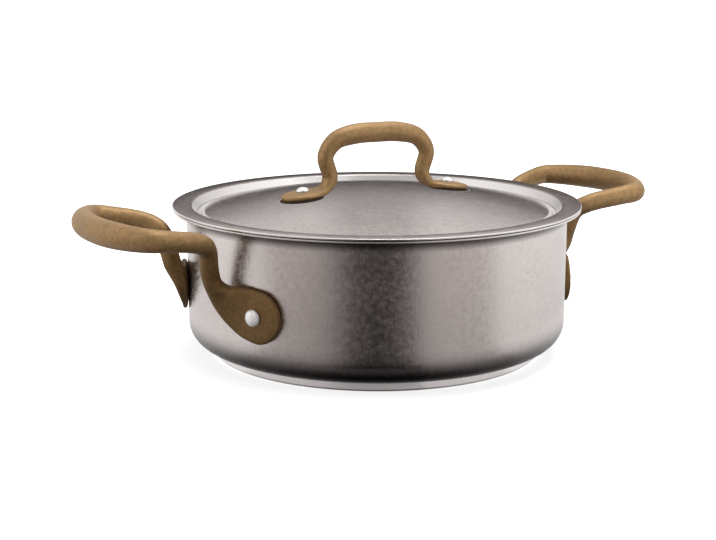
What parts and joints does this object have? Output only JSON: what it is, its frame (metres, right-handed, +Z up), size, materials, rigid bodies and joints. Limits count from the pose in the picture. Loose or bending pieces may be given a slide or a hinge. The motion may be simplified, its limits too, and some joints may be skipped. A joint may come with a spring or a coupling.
{
  "type": "roasting pot",
  "caption": "Low round steel roasting pot with bent bronze-coloured loop handles, a riveted construction, a sandwich base and a sunk-dome lid that lifts off by its arched handle.",
  "frame": {"origin": "centre of the base's underside, on the pot's axis", "axes": "+Z up along the pot's axis, +X through the middle of the right side handle"},
  "size_m": [0.3958, 0.261, 0.1462],
  "materials": {
    "body_steel": "aged satin steel, fine mottled scratches",
    "base_steel": "turned satin steel",
    "core_aluminium": "plain rolled disc, sealed in the base",
    "handle_bronze": "matte aged bronze with a brown patina",
    "rivet_steel": "bright polished heads"
  },
  "bodies": {
    "pot": {"pot_shell": "body_steel", "base_core": "core_aluminium", "base_cap": "base_steel", "left_handle": "handle_bronze", "right_handle": "handle_bronze", "left_front_rivet": "rivet_steel", "left_back_rivet": "rivet_steel", "right_front_rivet": "rivet_steel", "right_back_rivet": "rivet_steel"},
    "lid": {"lid_shell": "body_steel", "lid_handle": "handle_bronze", "lid_left_rivet": "rivet_steel", "lid_right_rivet": "rivet_steel"}
  },
  "joints": [
    {"name": "lid_lift", "type": "slide", "parent": "pot", "child": "lid", "axis": [0, 0, 1], "range_m": [0, 0.25]}
  ]
}
